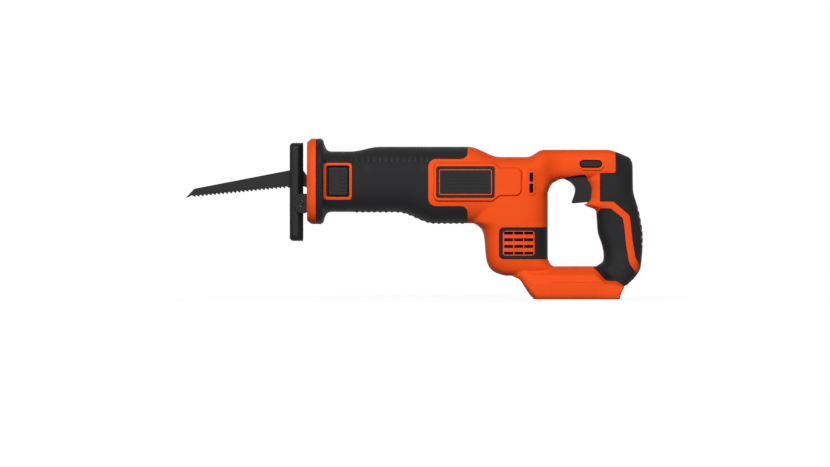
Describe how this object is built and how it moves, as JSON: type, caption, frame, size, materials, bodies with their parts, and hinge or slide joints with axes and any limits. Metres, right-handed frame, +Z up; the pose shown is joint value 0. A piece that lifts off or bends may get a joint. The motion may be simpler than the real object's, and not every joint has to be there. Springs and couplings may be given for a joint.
{
  "type": "reciprocating saw",
  "caption": "Cordless reciprocating saw with a D-shaped rear handle, soft grips, a pivoting shoe, a tapered blade and a battery foot, without its battery.",
  "frame": {"origin": "on the floor plane under the battery foot, below the middle of the saw's length and width", "axes": "+X along the saw from the blade's tip to the handle, +Y to the saw's right side, +Z up"},
  "size_m": [0.4748, 0.0776, 0.1669],
  "materials": {
    "orange_plastic": "satin moulded plastic",
    "soft_grip": "matt overmoulded grip",
    "black_plastic": "satin moulded plastic",
    "black_steel": "black coated steel",
    "bright_steel": "ground steel",
    "zinc_steel": "zinc plated steel",
    "cast_aluminium": "as cast",
    "sintered_bronze": "sintered bronze",
    "copper": "copper",
    "ferrite": "sintered ferrite",
    "carbon": "pressed carbon",
    "white_nylon": "moulded nylon",
    "red_wire": "insulated wire",
    "black_wire": "insulated wire"
  },
  "bodies": {
    "saw_body": {"battery_lead": "red_wire", "front_bush": "sintered_bronze", "front_magnet": "ferrite", "gear_axle": "bright_steel", "gear_case": "cast_aluminium", "gear_cover": "cast_aluminium", "housing_screw_1": "zinc_steel", "housing_screw_2": "zinc_steel", "housing_screw_3": "zinc_steel", "housing_screw_4": "zinc_steel", "housing_screw_5": "zinc_steel", "housing_screw_6": "zinc_steel", "left_badge": "black_plastic", "left_brush": "carbon", "left_contact": "copper", "left_front_grip": "soft_grip", "left_housing": "orange_plastic", "left_palm_grip": "soft_grip", "left_rear_grip": "soft_grip", "left_vent_frame": "soft_grip", "motor_can": "zinc_steel", "motor_end_bell": "black_plastic", "motor_lead": "black_wire", "nose_collar": "orange_plastic", "plunger_tube": "cast_aluminium", "rear_bush": "sintered_bronze", "rear_magnet": "ferrite", "release_spring": "bright_steel", "right_badge": "black_plastic", "right_brush": "carbon", "right_contact": "copper", "right_front_grip": "soft_grip", "right_housing": "orange_plastic", "right_palm_grip": "soft_grip", "right_rear_grip": "soft_grip", "right_vent_frame": "soft_grip", "shoe_bracket": "black_steel", "switch_body": "black_plastic", "terminal_block": "black_plastic", "trigger_spring": "bright_steel"},
    "gear": {"crank_pin": "bright_steel", "crank_roller": "bright_steel", "drive_gear": "zinc_steel", "gear_bearing": "bright_steel"},
    "rotor": {"armature": "copper", "commutator": "copper", "motor_fan": "white_nylon", "pinion": "bright_steel", "rotor_shaft": "bright_steel"},
    "plunger_and_blade": {"blade": "black_steel", "clamp_pin": "bright_steel", "clamp_sleeve": "black_steel", "plunger": "bright_steel"},
    "shoe_assembly": {"shoe": "black_steel", "shoe_pin": "zinc_steel"},
    "trigger": {"trigger": "black_plastic"},
    "lock_button": {"lock_button": "black_plastic"},
    "release_button": {"release_button": "black_plastic"}
  },
  "joints": [
    {"name": "gear_turn", "type": "hinge", "parent": "saw_body", "child": "gear", "pos_m": [0.0785, 0, 0.1068], "axis": [0, 0, 1], "range_deg": [-90, 90]},
    {"name": "rotor_turn", "type": "hinge", "parent": "saw_body", "child": "rotor", "pos_m": [0.106, 0, 0.07], "axis": [0, 0, 1], "range_deg": [-406, 406]},
    {"name": "plunger_stroke", "type": "slide", "parent": "saw_body", "child": "plunger_and_blade", "axis": [1, 0, 0], "range_m": [-0.01112, 0.01112]},
    {"name": "shoe_tilt", "type": "hinge", "parent": "saw_body", "child": "shoe_assembly", "pos_m": [-0.1177, 0, 0.0992], "axis": [0, -1, 0], "range_deg": [-3, 8]},
    {"name": "trigger_pull", "type": "slide", "parent": "saw_body", "child": "trigger", "axis": [1, 0, 0], "range_m": [0, 0.006], "stiffness_N_per_m": 600, "springref_m": -0.005, "deforming": ["trigger_spring"]},
    {"name": "lock_push", "type": "slide", "parent": "saw_body", "child": "lock_button", "axis": [0, 1, 0], "range_m": [0, 0.004]},
    {"name": "release_push", "type": "slide", "parent": "saw_body", "child": "release_button", "axis": [0, 1, 0], "range_m": [0, 0.0035], "stiffness_N_per_m": 800, "springref_m": -0.003, "deforming": ["release_spring"]}
  ],
  "couplings": [
    {"joint": "rotor_turn", "follows": "gear_turn", "ratio": -4.5},
    {"joint": "plunger_stroke", "follows": "gear_turn", "m_per_rad": 0.0070665}
  ]
}
